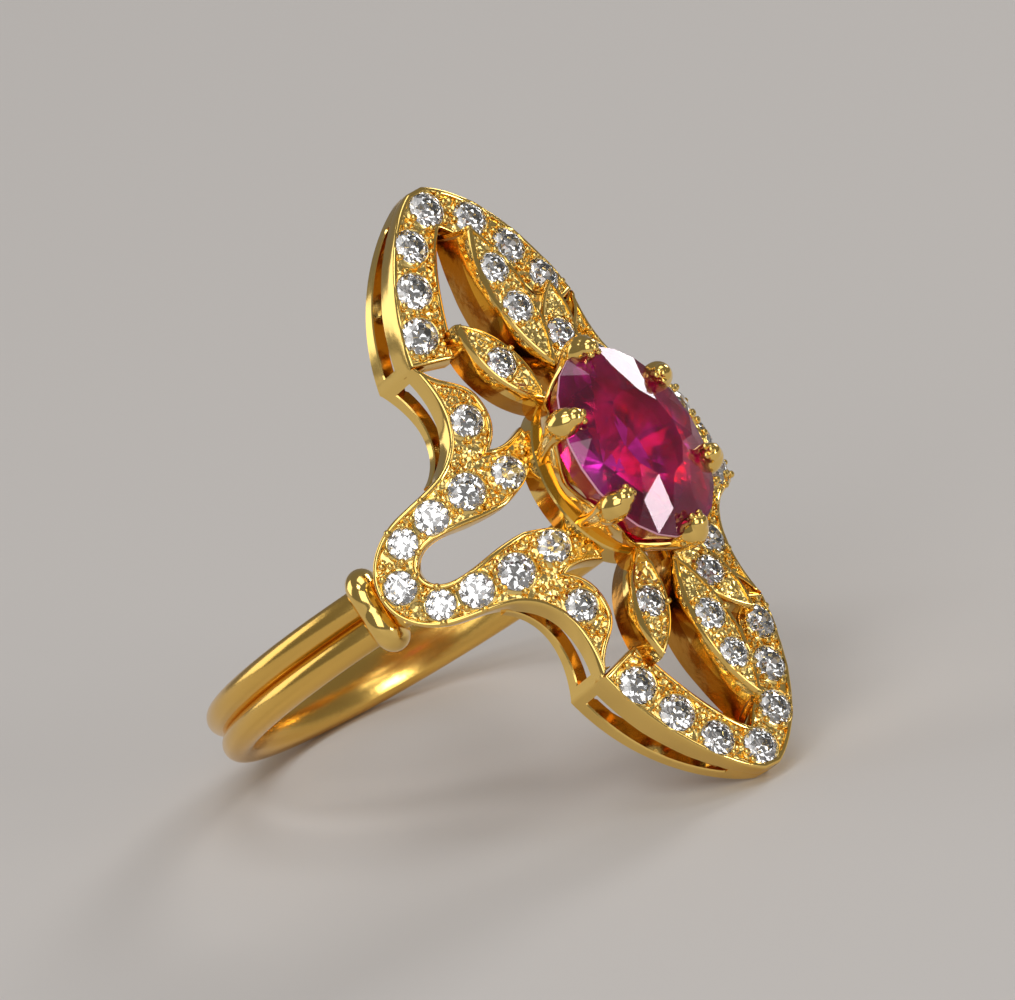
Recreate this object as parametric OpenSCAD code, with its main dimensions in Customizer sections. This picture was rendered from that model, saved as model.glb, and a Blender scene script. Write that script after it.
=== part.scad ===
// Gold cocktail ring: two wires for a shank, a pierced head bent over the finger, a large oval stone
// in six claws and small round stones set in the head. Millimetres.
// The ring is drawn with the finger hole along X and the head up, then laid down as it rests.

/* [Finger] */
// Inside diameter of the ring
bore_d = 17.3; // [16.5:0.1:17.6]

/* [Shank] */
// Diameter of each of the two wires
wire_d = 1.12; // [1:0.02:1.2]
// Distance between the middles of the two wires
wire_pitch = 1.08; // [0.9:0.02:1.1]
// Height of the wires' middle over the bore
wire_lift = 0.44; // [0.4:0.02:0.5]
// Angle from the middle of the head to the ends of the wires
wire_end = 41; // [38:1:43]
// Angle from the middle of the head to a collar
collar_at = 52; // [51:1:58]
// Width of a collar, along the wires
collar_w = 1.1; // [0.9:0.1:1.3]

/* [Head plate] */
// Height of the face over the middle of the finger
face_h = 10.9; // [10.8:0.05:11.2]
// Thickness of the plate
plate_t = 0.85; // [0.8:0.05:1]
// Half of the flat middle of the face
flat_half = 1.2; // [1:0.1:1.4]
// Radius of the bend beside the flat middle
bend_r = 8.5; // [8:0.1:9]

/* [Gallery] */
// Width of the lower rail, in from the edge
rail_w = 0.55; // [0.5:0.05:0.6]
// Half of the width of the post at a shoulder
post_half = 0.35; // [0.3:0.05:0.4]

/* [Leaves] */
// Height of a centre leaf over the face
centre_leaf_up = 1.5; // [1.2:0.1:1.7]
// Height of a small leaf over the face
small_leaf_up = 0.9; // [0.7:0.1:1]
// Depth of the leaves' undersides below the face
leaf_down = 0.5; // [0.4:0.05:0.6]

/* [Large stone] */
// Length of the oval stone
ruby_l = 7.5; // [7:0.1:7.6]
// Width of the oval stone
ruby_w = 5.3; // [5:0.1:5.4]
// Height of its widest line over the face
ruby_up = 3; // [2.9:0.05:3.1]

/* [Basket] */
// Diameter of a claw at its bend, beside the stone
claw_d = 0.96; // [0.9:0.02:1]
// Diameter of a claw's round tip
claw_tip_d = 0.64; // [0.6:0.02:0.7]
// Diameter of a claw at its foot
claw_foot_d = 0.75; // [0.7:0.05:0.9]

/* [Fits] */
// Gap between a stone and the metal that holds it
stone_gap = 0.06; // [0.05:0.01:0.08]
// Depth of the small stones' widest line below the metal's face
stone_sink = 0.08; // [0.05:0.01:0.1]

/* [Hidden] */
$fn = 48;
bore_r = bore_d / 2;
wire_r = bore_r + wire_lift;
bend_z = face_h - bend_r;
// Longer than any part of the ring, for cutters, and how far a cutter runs past what it cuts
LONG = 40;
PAST = 1;
// Overlap of two parts that are soldered together
OVERLAP = 0.1;

// The outlines are drawn flat: x along the finger, y across it along the face, before the bend.
// Each list holds the four control points of one curve.
GABLE_OUT = [[11.93, 0.3], [11.5, 1.45], [9.5, 3.35], [6.35, 4.05]];
GABLE_IN = [[10.3, 0], [9.3, 1], [7.9, 1.7], [5.9, 2.35]];
WAIST = [[6.35, 4.05], [5, 3.65], [3.3, 3.75], [2.6, 5.3]];
LOBE_SIDE = [[2.6, 5.3], [2.38, 5.9], [2.3, 6.6], [2.12, 7.4]];
LOBE_END = [[2.12, 7.4], [1.85, 8.5], [1, 9.35], [0, 9.35]];
HOOK_BACK = [[6.1, 3.75], [5.3, 3.4], [5.2, 2.5], [4.3, 2.4]];
HOOK_TIP = [[4.3, 2.4], [3.6, 2.3], [3, 2.5], [2.55, 3.1]];
LEAF_TIP_OUT = [[2.55, 3.1], [2.4, 2.7], [2.5, 2.2], [2.75, 1.6]];
LEAF_TIP_IN = [[2.75, 1.6], [1.9, 1.25], [0.9, 2.2], [0.55, 3.7]];
SLOT_SIDE = [[0.55, 3.7], [0.5, 4.9], [0.8, 5.6], [0.77, 6.6]];
SLOT_END = [[0.77, 6.6], [0.75, 7.2], [0.45, 7.62], [0, 7.62]];
// Inside the gable, where the side piece is soldered to it
SHOULDER_IN = [[6.8, 3.8], [6.6, 3.3]];

// Side view of the gallery: x along the finger, y up from the face
RAIL_UNDER_WAIST = [[2.3, -2.1], [4, -2.05], [5, -2.3], [6.4, -2.9]];
RAIL_UNDER_GABLE = [[6.4, -2.9], [8.6, -2.7], [10.4, -2.1], [11.93, -1]];
RAIL_OVER_WAIST = [[2.3, -1.7], [3.6, -1.75], [5, -1.75], [6.3, -2.25]];
RAIL_OVER_GABLE = [[6.5, -2.25], [8.4, -2.1], [9.8, -1.9], [11.3, -0.85]];

// Turn of the outer frame that cuts the lobes, and the angle where the two frames meet
LOBE_TURN = 38;
SPLIT = 25;
BEND_END = 60;
// End of the block that solders the wires to a lobe
SEAT_END = 47;

// Leaves: middle (along and across the finger), half length, half width, turn
CENTRE_LEAF = [6.8, 0, 2.95, 0.82, 0];
SMALL_LEAF = [4.9, 1.45, 2.15, 0.75, 23];
LEAF_TOP = 0.85;
LEAF_WALL = 0.28;
// Width of the bar under a centre leaf, and how far it runs into the gable
KEEL_W = 0.6;
KEEL_IN = 0.3;

// Basket: half length and half width of its ovals
RING_OUT = [3.25, 2.45];
RING_IN = [2.65, 1.85];
RING_Z = [-0.55, 0.45];
BOWL_FOOT = [2.95, 2];
BOWL_RIM = [3.86, 2.76];
BOWL_WALL = 0.35;
BOWL_Z = [0.3, 2.4];
BOWL_DIP = 1.5;
CLAW_FOOT = [2.85, 1.9, 0.1];
CLAW_BEND = [3.72, 2.6, 2.75];
CLAW_TIP = [3.6, 2.42, 3.5];
CLAW_ANGLES = [0, 63, 117, 180, 243, 297];
// How much thinner a claw's straight lengths are than its round bend and tip
CLAW_NECK = 0.08;

// Small stones of one quarter of the head, mirrored to the others:
// along the finger, across it on the flat outline, diameter, height over the face
STONES = [
    [11.1, 0, 1.35, 0],
    [10.15, 1.45, 1.3, 0],
    [8.7, 2.35, 1.35, 0],
    [7.2, 3.1, 1.35, 0],
    [7.95, 0, 1.15, centre_leaf_up],
    [6.35, 0, 1.2, centre_leaf_up],
    [4.92, 1.48, 1.15, small_leaf_up],
    [3.8, 3.3, 1.2, 0],
    [1.5, 3, 1.25, 0],
    [1.65, 4.7, 1.35, 0],
    [1.5, 6.25, 1.25, 0],
    [1.25, 7.6, 1.1, 0],
    [0, 8.5, 1.2, 0]
];
SEATS = [
    for (q = STONES)
        for (x = q.x == 0 ? [0] : [q.x, -q.x])
            for (y = q.y == 0 ? [0] : [q.y, -q.y])
                [x, y, q[2], q[3]]
];

// Seats of the small stones: radius of the hole behind a stone, and depth of the cutter
AZURE_R = 0.25;
AZURE_DEEP = 1.1;
AZURE_LIP = 0.05;

// Cuts of the stones: facets round the crown, table's share of the width, heights of the crown, of the
// girdle and of the pavilion. A small stone's heights are shares of its diameter.
SMALL_CUT = [8, 0.56, 0.15, 0.04, 0.42];
LARGE_CUT = [12, 0.46, 0.85, 0.12, 1.5];
// Belly of the large stone, between girdle and pavilion: share of the width at its foot, and height
BELLY = [0.92, 0.95];
// Place of the pavilion's middle corners, as a share of the stone's half width
CUT_LOW = 0.5;
// How far the crown's middle corners lie outside the halfway line
CUT_MID = 0.03;

// The ring rests on the lower edge of a gable's tip and on the outside of a wire.
REST_TIP = [GABLE_OUT[0].x, face_h + RAIL_UNDER_GABLE[3].y];
REST_WIRE = [wire_pitch / 2, -wire_r];
REST_SPAN = REST_WIRE - REST_TIP;
rest_tilt = atan2(REST_SPAN.y, REST_SPAN.x) + 270 - acos(wire_d / 2 / norm(REST_SPAN));

// Curves
function bezier_point(c, t) =
    pow(1 - t, 3) * c[0] + 3 * pow(1 - t, 2) * t * c[1]
    + 3 * (1 - t) * t * t * c[2] + pow(t, 3) * c[3];
function bezier(c, n) = [for (i = [0:n - 1]) bezier_point(c, i / n)];
function backward(list) = [for (i = [len(list) - 1:-1:0]) list[i]];
function flip_x(list) = [for (p = list) [-p.x, p.y]];
function flip_y(list) = [for (p = list) [p.x, -p.y]];
function oval(r, n) = [for (i = [0:n - 1]) [r.x * cos(360 * i / n), r.y * sin(360 * i / n)]];

// Angle of the bend at a distance across the flat outline
function bend_angle(y) = (abs(y) - flat_half) / bend_r * 180 / PI;
// Where the distance lands in plan, once the face is bent
function bent(y) = abs(y) <= flat_half ? y : sign(y) * (flat_half + bend_r * sin(bend_angle(y)));
function in_plan(list) = [for (p = list) [p.x, bent(p.y)]];
function in_lobe_frame(list) = [for (p = list) [p.x, bend_r * sin(bend_angle(p.y) - LOBE_TURN)]];

// Moves each point of an open curve to its left
function beside(list, d) = [
    for (i = [0:len(list) - 1])
        let (
            a = list[max(i - 1, 0)],
            b = list[min(i + 1, len(list) - 1)],
            t = (b - a) / norm(b - a)
        )
        list[i] + d * [-t.y, t.x]
];

function gable_edge() = concat(bezier(GABLE_OUT, 12), [GABLE_OUT[3]]);
function gable_outline() =
    let (
        out = gable_edge(),
        hollow = concat(bezier(GABLE_IN, 8), [GABLE_IN[3]]),
        side = concat(out, backward(hollow))
    )
    concat(
        backward(flip_y(out)), out,
        backward(hollow), [for (i = [1:len(hollow) - 1]) flip_y(hollow)[i]]
    );
function side_outline() =
    let (
        edge = concat([SHOULDER_IN[0]], bezier(WAIST, 8), bezier(LOBE_SIDE, 4), bezier(LOBE_END, 6)),
        hollow = concat(
            [SHOULDER_IN[1]], bezier(HOOK_BACK, 5), bezier(HOOK_TIP, 4), bezier(LEAF_TIP_OUT, 4),
            bezier(LEAF_TIP_IN, 7), bezier(SLOT_SIDE, 4), bezier(SLOT_END, 5)
        )
    )
    concat(
        edge, [LOBE_END[3]], backward(flip_x(edge)),
        flip_x(hollow), [SLOT_END[3]], backward(hollow)
    );

// Placing
module rested() rotate([0, rest_tilt, 0]) children();
module about_finger(angle) rotate([-angle, 0, 0]) children();
module in_bend_frame(angle) translate([0, flat_half, bend_z]) rotate([-angle, 0, 0]) children();
module four_ways() {
    for (x = [0, 1]) mirror([x, 0, 0]) for (y = [0, 1]) mirror([0, y, 0]) children();
}
module both_sides() for (y = [0, 1]) mirror([0, y, 0]) children();
module both_ends() for (x = [0, 1]) mirror([x, 0, 0]) children();
module on_face(x, y) {
    if (abs(y) <= flat_half) translate([x, y, face_h]) children();
    else mirror([0, y < 0 ? 1 : 0, 0]) in_bend_frame(bend_angle(y)) translate([x, 0, bend_r]) children();
}
// A bar bent about the X axis, from one angle to another off the upright
module bent_bar(inner, outer, from, to, length) {
    rotate([0, -90, 0])
        rotate([0, 0, from])
            rotate_extrude(angle = to - from)
                translate([inner, -length / 2]) square([outer - inner, length]);
}

// Shank
module wires() {
    for (x = [-1, 1] * wire_pitch / 2)
        rotate([0, -90, 0])
            rotate([0, 0, wire_end])
                rotate_extrude(angle = 360 - 2 * wire_end)
                    translate([wire_r, x]) circle(d = wire_d);
    // Solder fills the groove on the inside
    bent_bar(bore_r - OVERLAP, wire_r, wire_end, 360 - wire_end, wire_pitch);
}
module collar() {
    about_finger(collar_at) translate([0, 0, wire_r]) rotate([90, 0, 0]) {
        both_ends() translate([wire_pitch / 2, 0, 0]) rotate([0, 0, -90])
            rotate_extrude(angle = 180) collar_section();
        both_sides() rotate([90, 0, 90]) linear_extrude(wire_pitch, center = true) collar_section();
    }
}
module collar_section() {
    intersection() {
        translate([wire_d / 2, 0]) circle(d = collar_w);
        translate([OVERLAP, -collar_w]) square([2 * collar_w, 2 * collar_w]);
    }
}
module shank_seat() {
    bent_bar(wire_r, face_h - plate_t / 2, wire_end + 1, SEAT_END, 2 * wire_pitch);
    // Solder fills the groove up to the collar
    bent_bar(wire_r, wire_r + wire_d / 2 - OVERLAP, SEAT_END - 1, collar_at - 1, wire_pitch);
}

// Head
module plate() {
    intersection() {
        union() {
            both_ends() linear_extrude(face_h + PAST) polygon(in_plan(gable_outline()));
            both_sides() linear_extrude(face_h + PAST) polygon(in_plan(side_outline()));
        }
        union() {
            translate([-LONG / 2, -flat_half, face_h - plate_t])
                cube([LONG, 2 * flat_half, plate_t]);
            both_sides() translate([0, flat_half, bend_z])
                bent_bar(bend_r - plate_t, bend_r, 0, SPLIT, LONG);
        }
    }
    both_sides() intersection() {
        in_bend_frame(LOBE_TURN) linear_extrude(bend_r + PAST) polygon(in_lobe_frame(side_outline()));
        translate([0, flat_half, bend_z]) bent_bar(bend_r - plate_t, bend_r, SPLIT, BEND_END, LONG);
    }
}
module gallery() {
    edge = in_plan(concat(bezier(GABLE_OUT, 12), bezier(WAIST, 8), [WAIST[3]]));
    half = concat(backward(edge), flip_y(edge));
    band = concat(half, backward(beside(half, -rail_w)));
    both_ends() intersection() {
        linear_extrude(face_h) polygon(band);
        translate([0, LONG / 2, face_h]) rotate([90, 0, 0]) linear_extrude(LONG) rail_side_view();
    }
}
module rail_side_view() {
    polygon(concat(
        bezier(RAIL_UNDER_WAIST, 5), bezier(RAIL_UNDER_GABLE, 10), [RAIL_UNDER_GABLE[3]],
        [[RAIL_UNDER_GABLE[3].x, -plate_t / 2], [RAIL_OVER_GABLE[3].x, -plate_t / 2]],
        backward(concat(bezier(RAIL_OVER_WAIST, 5), bezier(RAIL_OVER_GABLE, 10)))
    ));
    post_foot = RAIL_UNDER_GABLE[0].y + 2 * OVERLAP;
    translate([RAIL_UNDER_GABLE[0].x - post_half, post_foot])
        square([2 * post_half, -plate_t / 2 - post_foot]);
}
module lens(half_length, half_width) {
    r = (half_length * half_length + half_width * half_width) / (2 * half_width);
    intersection() {
        translate([0, r - half_width]) circle(r);
        translate([0, half_width - r]) circle(r);
    }
}
// A boat, hollow underneath
module leaf(place, up) {
    translate([place[0], place[1], face_h - leaf_down]) rotate([0, 0, place[4]]) difference() {
        linear_extrude(leaf_down + up) lens(place[2], place[3]);
        translate([0, 0, -PAST]) linear_extrude(PAST + leaf_down + up - LEAF_TOP)
            lens(place[2] - 2 * LEAF_WALL, place[3] - LEAF_WALL);
    }
}
module leaves() {
    both_ends() {
        leaf(CENTRE_LEAF, centre_leaf_up);
        translate([RING_IN.x, -KEEL_W / 2, face_h - leaf_down])
            cube([GABLE_IN[0].x + KEEL_IN - RING_IN.x, KEEL_W, leaf_down]);
    }
    four_ways() leaf(SMALL_LEAF, small_leaf_up);
}

// Basket of the large stone
module base_ring() {
    translate([0, 0, face_h + RING_Z[0]]) linear_extrude(RING_Z[1] - RING_Z[0]) difference() {
        polygon(oval(RING_OUT, 48));
        polygon(oval(RING_IN, 48));
    }
}
// Height of the bowl's scalloped rim at an angle: high at the claws, low between them
function rim_z(a) = BOWL_DIP + (BOWL_Z[1] - BOWL_DIP) * pow(abs(cos(3 * a)), 1.5);
function bowl_r(z) = BOWL_FOOT + (BOWL_RIM - BOWL_FOOT) * (z - BOWL_Z[0]) / (BOWL_Z[1] - BOWL_Z[0]);
function bowl_corner(a, z, inset) =
    let (r = bowl_r(z)) [(r.x - inset) * cos(a), (r.y - inset) * sin(a), face_h + z];
module bowl() {
    n = 2 * $fn;
    points = [
        for (i = [0:n - 1])
            let (a = 360 * i / n, top = rim_z(a))
                each [
                    bowl_corner(a, BOWL_Z[0], 0), bowl_corner(a, top, 0),
                    bowl_corner(a, top, BOWL_WALL), bowl_corner(a, BOWL_Z[0], BOWL_WALL)
                ]
    ];
    faces = [
        for (i = [0:n - 1])
            for (j = [0:3])
                let (k = (i + 1) % n, m = (j + 1) % 4)
                    each [[4 * i + j, 4 * i + m, 4 * k + m], [4 * i + j, 4 * k + m, 4 * k + j]]
    ];
    polyhedron(points, faces);
}
module rod(from, to, d1, d2) {
    v = to - from;
    translate(from) rotate([0, acos(v.z / norm(v)), atan2(v.y, v.x)])
        cylinder(d1 = d1, d2 = d2, h = norm(v));
}
function claw_point(p, a) = [p.x * cos(a), p.y * sin(a), face_h + p.z];
module claws() {
    for (a = CLAW_ANGLES) {
        foot = claw_point(CLAW_FOOT, a);
        bend = claw_point(CLAW_BEND, a);
        tip = claw_point(CLAW_TIP, a);
        rod(foot, bend, claw_foot_d, claw_d - CLAW_NECK);
        translate(bend) sphere(d = claw_d);
        rod(bend, tip, claw_d - CLAW_NECK, claw_tip_d - CLAW_NECK);
        translate(tip) sphere(d = claw_tip_d);
    }
}

// Stones
// Rings of corners round a cut stone. Only the crown's and the pavilion's middle rings are half a
// step on, so that the kite-shaped facets between them are flat.
function stone_ring(r, n, turn, z) =
    [for (i = [0:n - 1]) [r.x * cos(360 * i / n + turn), r.y * sin(360 * i / n + turn), z]];
// The belly is one more ring of facets under the girdle; a belly without height is left out.
module cut_stone(r, mains, table, crown, girdle, pavilion, belly = [1, 0]) {
    n = 2 * mains;
    half = 180 / mains;
    mid = (1 + table) / 2 + CUT_MID;
    foot_z = -girdle - belly.y;
    low_z = foot_z - pavilion * (1 - CUT_LOW * cos(half) / belly.x);
    points = concat(
        stone_ring(r * table, mains, 0, crown),
        stone_ring(r * mid, mains, half, crown * (1 - mid * cos(half)) / (1 - table)),
        stone_ring(r, n, 0, 0),
        stone_ring(r, n, 0, -girdle),
        belly.y > 0 ? stone_ring(r * belly.x, n, 0, foot_z) : [],
        stone_ring(r * CUT_LOW, mains, half, low_z),
        [[0, 0, foot_z - pavilion]]
    );
    m0 = mains;
    g0 = 2 * mains;
    h0 = belly.y > 0 ? g0 + 2 * n : g0 + n;
    p0 = h0 + n;
    culet = p0 + mains;
    faces = concat(
        [[for (i = [mains - 1:-1:0]) i]],
        [for (i = [0:mains - 1]) let (j = (i + 1) % mains, f = (i + mains - 1) % mains) each [
            [i, j, m0 + i],
            [i, m0 + i, g0 + 2 * i, m0 + f],
            [m0 + i, g0 + 2 * i + 1, g0 + 2 * i],
            [m0 + i, g0 + 2 * j, g0 + 2 * i + 1],
            [h0 + 2 * i, h0 + 2 * i + 1, p0 + i],
            [h0 + 2 * i + 1, h0 + 2 * j, p0 + i],
            [culet, p0 + f, h0 + 2 * i, p0 + i]
        ]],
        [
            for (k = [g0:n:h0 - n])
                for (i = [0:n - 1])
                    let (j = (i + 1) % n)
                        [k + i, k + j, k + n + j, k + n + i]
        ]
    );
    polyhedron(points, faces);
}
module brilliant(d) {
    c = SMALL_CUT;
    cut_stone([d, d] / 2, c[0], c[1], c[2] * d, c[3] * d, c[4] * d);
}
// The large stone, or the room that the metal leaves for it
module large_stone(extra) {
    c = LARGE_CUT;
    r = [ruby_l, ruby_w] / 2 + [extra, extra];
    translate([0, 0, face_h + ruby_up])
        cut_stone(r, c[0], c[1], c[2] + extra, c[3], c[4] + extra, BELLY);
}
module seat(d) {
    r = d / 2 + stone_gap;
    wall = stone_sink + SMALL_CUT[3] * d + stone_gap / 2;
    // The seat is a cone as steep as the stone's pavilion
    neck = wall + 2 * SMALL_CUT[4] * (r - AZURE_R);
    rotate_extrude() polygon([
        [0, PAST], [r, PAST], [r, -wall], [AZURE_R, -neck], [AZURE_R, -neck - AZURE_LIP],
        [2 * AZURE_R, -AZURE_DEEP], [0, -AZURE_DEEP]
    ]);
}
module at_seat(s) on_face(s.x, s.y) translate([0, 0, s[3]]) children();

// Pieces
module mount() {
    color("goldenrod") rested() difference() {
        union() {
            wires();
            both_sides() {
                collar();
                shank_seat();
            }
            plate();
            gallery();
            leaves();
            base_ring();
            difference() {
                union() {
                    bowl();
                    claws();
                }
                large_stone(stone_gap);
            }
        }
        for (s = SEATS) at_seat(s) seat(s[2]);
        rotate([0, 90, 0]) cylinder(r = bore_r, h = LONG, center = true);
    }
}
module ruby() color("crimson") rested() large_stone(0);
module diamond(i)
    color("aliceblue") rested() at_seat(SEATS[i - 1])
        translate([0, 0, -stone_sink]) brilliant(SEATS[i - 1][2]);

mount();
ruby();
for (i = [1:len(SEATS)]) diamond(i);
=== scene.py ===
"""Looks of the gold ring.

Shapes are worked out in millimetres in the ring's own frame: x along the finger, y across it, z out of the
head, with 0 on the finger's axis. to_rest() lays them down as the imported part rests, in metres.
Outlines on the head are drawn flat as (x, s), where s is the length across the face before the bend.
"""
import math

import bpy
import numpy as np
from mathutils import Matrix, Vector


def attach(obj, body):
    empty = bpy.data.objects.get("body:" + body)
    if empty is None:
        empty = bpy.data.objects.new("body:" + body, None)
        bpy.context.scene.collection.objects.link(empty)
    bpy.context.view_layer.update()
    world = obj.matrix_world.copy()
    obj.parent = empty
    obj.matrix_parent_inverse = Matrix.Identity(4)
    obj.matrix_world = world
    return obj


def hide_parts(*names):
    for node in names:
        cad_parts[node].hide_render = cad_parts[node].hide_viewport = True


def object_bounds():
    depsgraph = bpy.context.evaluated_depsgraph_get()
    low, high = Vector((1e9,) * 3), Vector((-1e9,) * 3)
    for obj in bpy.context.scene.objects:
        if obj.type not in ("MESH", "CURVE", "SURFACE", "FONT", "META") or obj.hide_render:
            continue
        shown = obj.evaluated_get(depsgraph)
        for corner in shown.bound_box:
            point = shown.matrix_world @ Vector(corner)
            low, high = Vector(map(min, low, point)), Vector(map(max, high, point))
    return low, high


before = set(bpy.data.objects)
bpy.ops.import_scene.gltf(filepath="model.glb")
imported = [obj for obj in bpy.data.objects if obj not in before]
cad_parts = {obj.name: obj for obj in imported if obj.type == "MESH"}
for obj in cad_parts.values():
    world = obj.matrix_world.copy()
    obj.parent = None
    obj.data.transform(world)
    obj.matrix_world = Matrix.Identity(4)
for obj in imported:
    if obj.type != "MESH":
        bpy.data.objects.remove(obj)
cad_lo, cad_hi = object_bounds()

# Sizes of the solids, in millimetres
BORE_R = 8.65
WIRE_R, WIRE_D, WIRE_HALF_PITCH = 9.09, 1.12, 0.54
WIRE_END = math.radians(41)
COLLAR_AT, COLLAR_D, COLLAR_DIP = math.radians(52), 1.1, 0.06
FACE_H, FLAT, BEND_R = 10.9, 1.2, 8.5
PLATE_T = 0.85
REST_TILT = math.radians(60.4942)
# Heights over the face: lower and upper edge of the ruby's girdle, and where its belly begins
GIRDLE, BELLY_H = (2.885, 2.995), 1.4

GABLE_OUT = [[11.93, 0.3], [11.5, 1.45], [9.5, 3.35], [6.35, 4.05]]
GABLE_IN = [[10.3, 0], [9.3, 1], [7.9, 1.7], [5.9, 2.35]]
WAIST = [[6.35, 4.05], [5, 3.65], [3.3, 3.75], [2.6, 5.3]]
LOBE_SIDE = [[2.6, 5.3], [2.38, 5.9], [2.3, 6.6], [2.12, 7.4]]
LOBE_END = [[2.12, 7.4], [1.85, 8.5], [1, 9.35], [0, 9.35]]
# Stones further along the finger than this lie in a gable
GABLE_FROM = 6.2
HOOK_BACK = [[6.1, 3.75], [5.3, 3.4], [5.2, 2.5], [4.3, 2.4]]
HOOK_TIP = [[4.3, 2.4], [3.6, 2.3], [3, 2.5], [2.55, 3.1]]
LEAF_TIP_OUT = [[2.55, 3.1], [2.4, 2.7], [2.5, 2.2], [2.75, 1.6]]
LEAF_TIP_IN = [[2.75, 1.6], [1.9, 1.25], [0.9, 2.2], [0.55, 3.7]]
SLOT_SIDE = [[0.55, 3.7], [0.5, 4.9], [0.8, 5.6], [0.77, 6.6]]
SLOT_END = [[0.77, 6.6], [0.75, 7.2], [0.45, 7.62], [0, 7.62]]
RAIL_UNDER_WAIST = [[2.3, -2.1], [4, -2.05], [5, -2.3], [6.4, -2.9]]
RAIL_UNDER_GABLE = [[6.4, -2.9], [8.6, -2.7], [10.4, -2.1], [11.93, -1]]
RAIL_W = 0.55
RAIL_OVER_WAIST = [[2.3, -1.7], [3.6, -1.75], [5, -1.75], [6.3, -2.25]]
RAIL_OVER_GABLE = [[6.5, -2.25], [8.4, -2.1], [9.8, -1.9], [11.3, -0.85]]
# The rail's outer wall lies this much inside the plate's where they overlap
HAIR = 0.008

# Small stones of one quarter: x, s, diameter, height over the face, direction of the metal round it in degrees
STONES = [
    (11.1, 0, 1.35, 0, 0), (10.15, 1.45, 1.3, 0, 135), (8.7, 2.35, 1.35, 0, 150), (7.2, 3.1, 1.35, 0, 155),
    (7.95, 0, 1.15, 1.5, 0), (6.35, 0, 1.2, 1.5, 0), (4.92, 1.48, 1.15, 0.9, 23),
    (3.8, 3.3, 1.2, 0, 175), (1.5, 3, 1.25, 0, 115), (1.65, 4.7, 1.35, 0, 95), (1.5, 6.25, 1.25, 0, 97),
    (1.25, 7.6, 1.1, 0, 115), (0, 8.5, 1.2, 0, 0),
]
# Leaves: x, y, half length, half width, direction in degrees, height over the face
CENTRE_LEAF = (6.8, 0, 2.95, 0.82, 0, 1.5)
SMALL_LEAF = (4.9, 1.45, 2.15, 0.75, 23, 0.9)


# Materials

def linear(hex_colour):
    """sRGB hex to the linear colour that a shader takes."""
    c = np.array([int(hex_colour[i:i + 2], 16) for i in (1, 3, 5)]) / 255
    return (*np.where(c <= 0.04045, c / 12.92, ((c + 0.055) / 1.055) ** 2.4), 1.0)


def new_material(name, colour, metallic=0.0, roughness=0.0):
    """A material of one Principled shader, and that shader."""
    m = bpy.data.materials.new(name)
    m.use_nodes = True
    b = m.node_tree.nodes["Principled BSDF"]
    b.inputs["Base Color"].default_value = linear(colour)
    b.inputs["Metallic"].default_value = metallic
    b.inputs["Roughness"].default_value = roughness
    return m, b


def add(m, kind, inputs=(), **settings):
    """Adds a node; inputs are (socket, value or output socket) pairs."""
    n = m.node_tree.nodes.new(kind)
    for k, v in settings.items():
        setattr(n, k, v)
    for k, v in inputs:
        if isinstance(v, bpy.types.NodeSocket):
            m.node_tree.links.new(v, n.inputs[k])
        else:
            n.inputs[k].default_value = v
    return n


def gold(name, colour, roughness, bumps):
    """Gold with fine unevenness: one layer of noise for each bump, of that size and height in mm."""
    m, b = new_material(name, colour, 1.0, roughness)
    place = add(m, "ShaderNodeTexCoord").outputs["Object"]
    layer_under = []
    for size, height in bumps:
        noise = add(m, "ShaderNodeTexNoise", [("Vector", place), ("Scale", 1000 / size)])
        bump = add(m, "ShaderNodeBump", [("Height", noise.outputs["Fac"]), ("Distance", height / 1000)] + layer_under)
        layer_under = [("Normal", bump.outputs["Normal"])]
    m.node_tree.links.new(bump.outputs["Normal"], b.inputs["Normal"])
    return m


# Rolled and polished with a felt wheel: very smooth, with the faint long waves that hand polishing leaves
POLISHED = gold("polished_yellow_gold", "#FAD378", 0.12, [(1.3, 0.012), (0.35, 0.002)])
# Drawn wire, polished once and dulled by wear: a warmer, softer gleam
WIRE = gold("worn_yellow_gold_wire", "#F0C264", 0.2, [(1.3, 0.012), (0.25, 0.003)])
# Cut with a graver between the stones: small bright facets at all angles
ENGRAVED = gold("graver_cut_yellow_gold", "#FADA86", 0.22, [(0.4, 0.02)])
# Duller as cast where no wheel reaches, and painted darker as shade: in the piercings, under the head and on the
# lower walls of the leaves
PAINTED_SHADE_GOLD = gold("as_cast_gold_painted_shade", "#C48A36", 0.2, [(0.9, 0.05), (0.2, 0.006)])

# Cut ruby, polished on a wheel: clear, deep pink, its colour in its depth
RUBY, ruby_shader = new_material("cut_ruby", "#FFFFFF")
# Cut diamond, polished to a high gloss: clear and colourless
DIAMOND, diamond_shader = new_material("cut_diamond", "#FFFFFF")
for shader, ior, clearness in ((ruby_shader, 1.77, 0.94), (diamond_shader, 2.42, 0.97)):
    shader.inputs["IOR"].default_value = ior
    shader.inputs["Transmission Weight"].default_value = clearness
ruby_shader.inputs["Specular IOR Level"].default_value = 0.17
ruby_shader.inputs["Specular Tint"].default_value = linear("#FFE8F2")
# Cloudy veils a millimetre or two wide, darker and brighter pink
VEIL_SIZE = 1.8
ruby_place = add(RUBY, "ShaderNodeTexCoord").outputs["Object"]
veils = add(RUBY, "ShaderNodeTexNoise", [("Vector", ruby_place), ("Scale", 1000 / VEIL_SIZE), ("Detail", 3.0)])
tones = add(RUBY, "ShaderNodeValToRGB", [("Fac", veils.outputs["Fac"])])
for element, position, colour in zip(tones.color_ramp.elements, (0.38, 0.62), ("#B2006C", "#FF34D2")):
    element.position, element.color = position, linear(colour)
# Height over the finger's axis, in metres, along the face's own direction
face_way = (math.sin(REST_TILT), 0, math.cos(REST_TILT))
up_face = add(RUBY, "ShaderNodeVectorMath", [(0, ruby_place), (1, face_way)], operation="DOT_PRODUCT")


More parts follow.
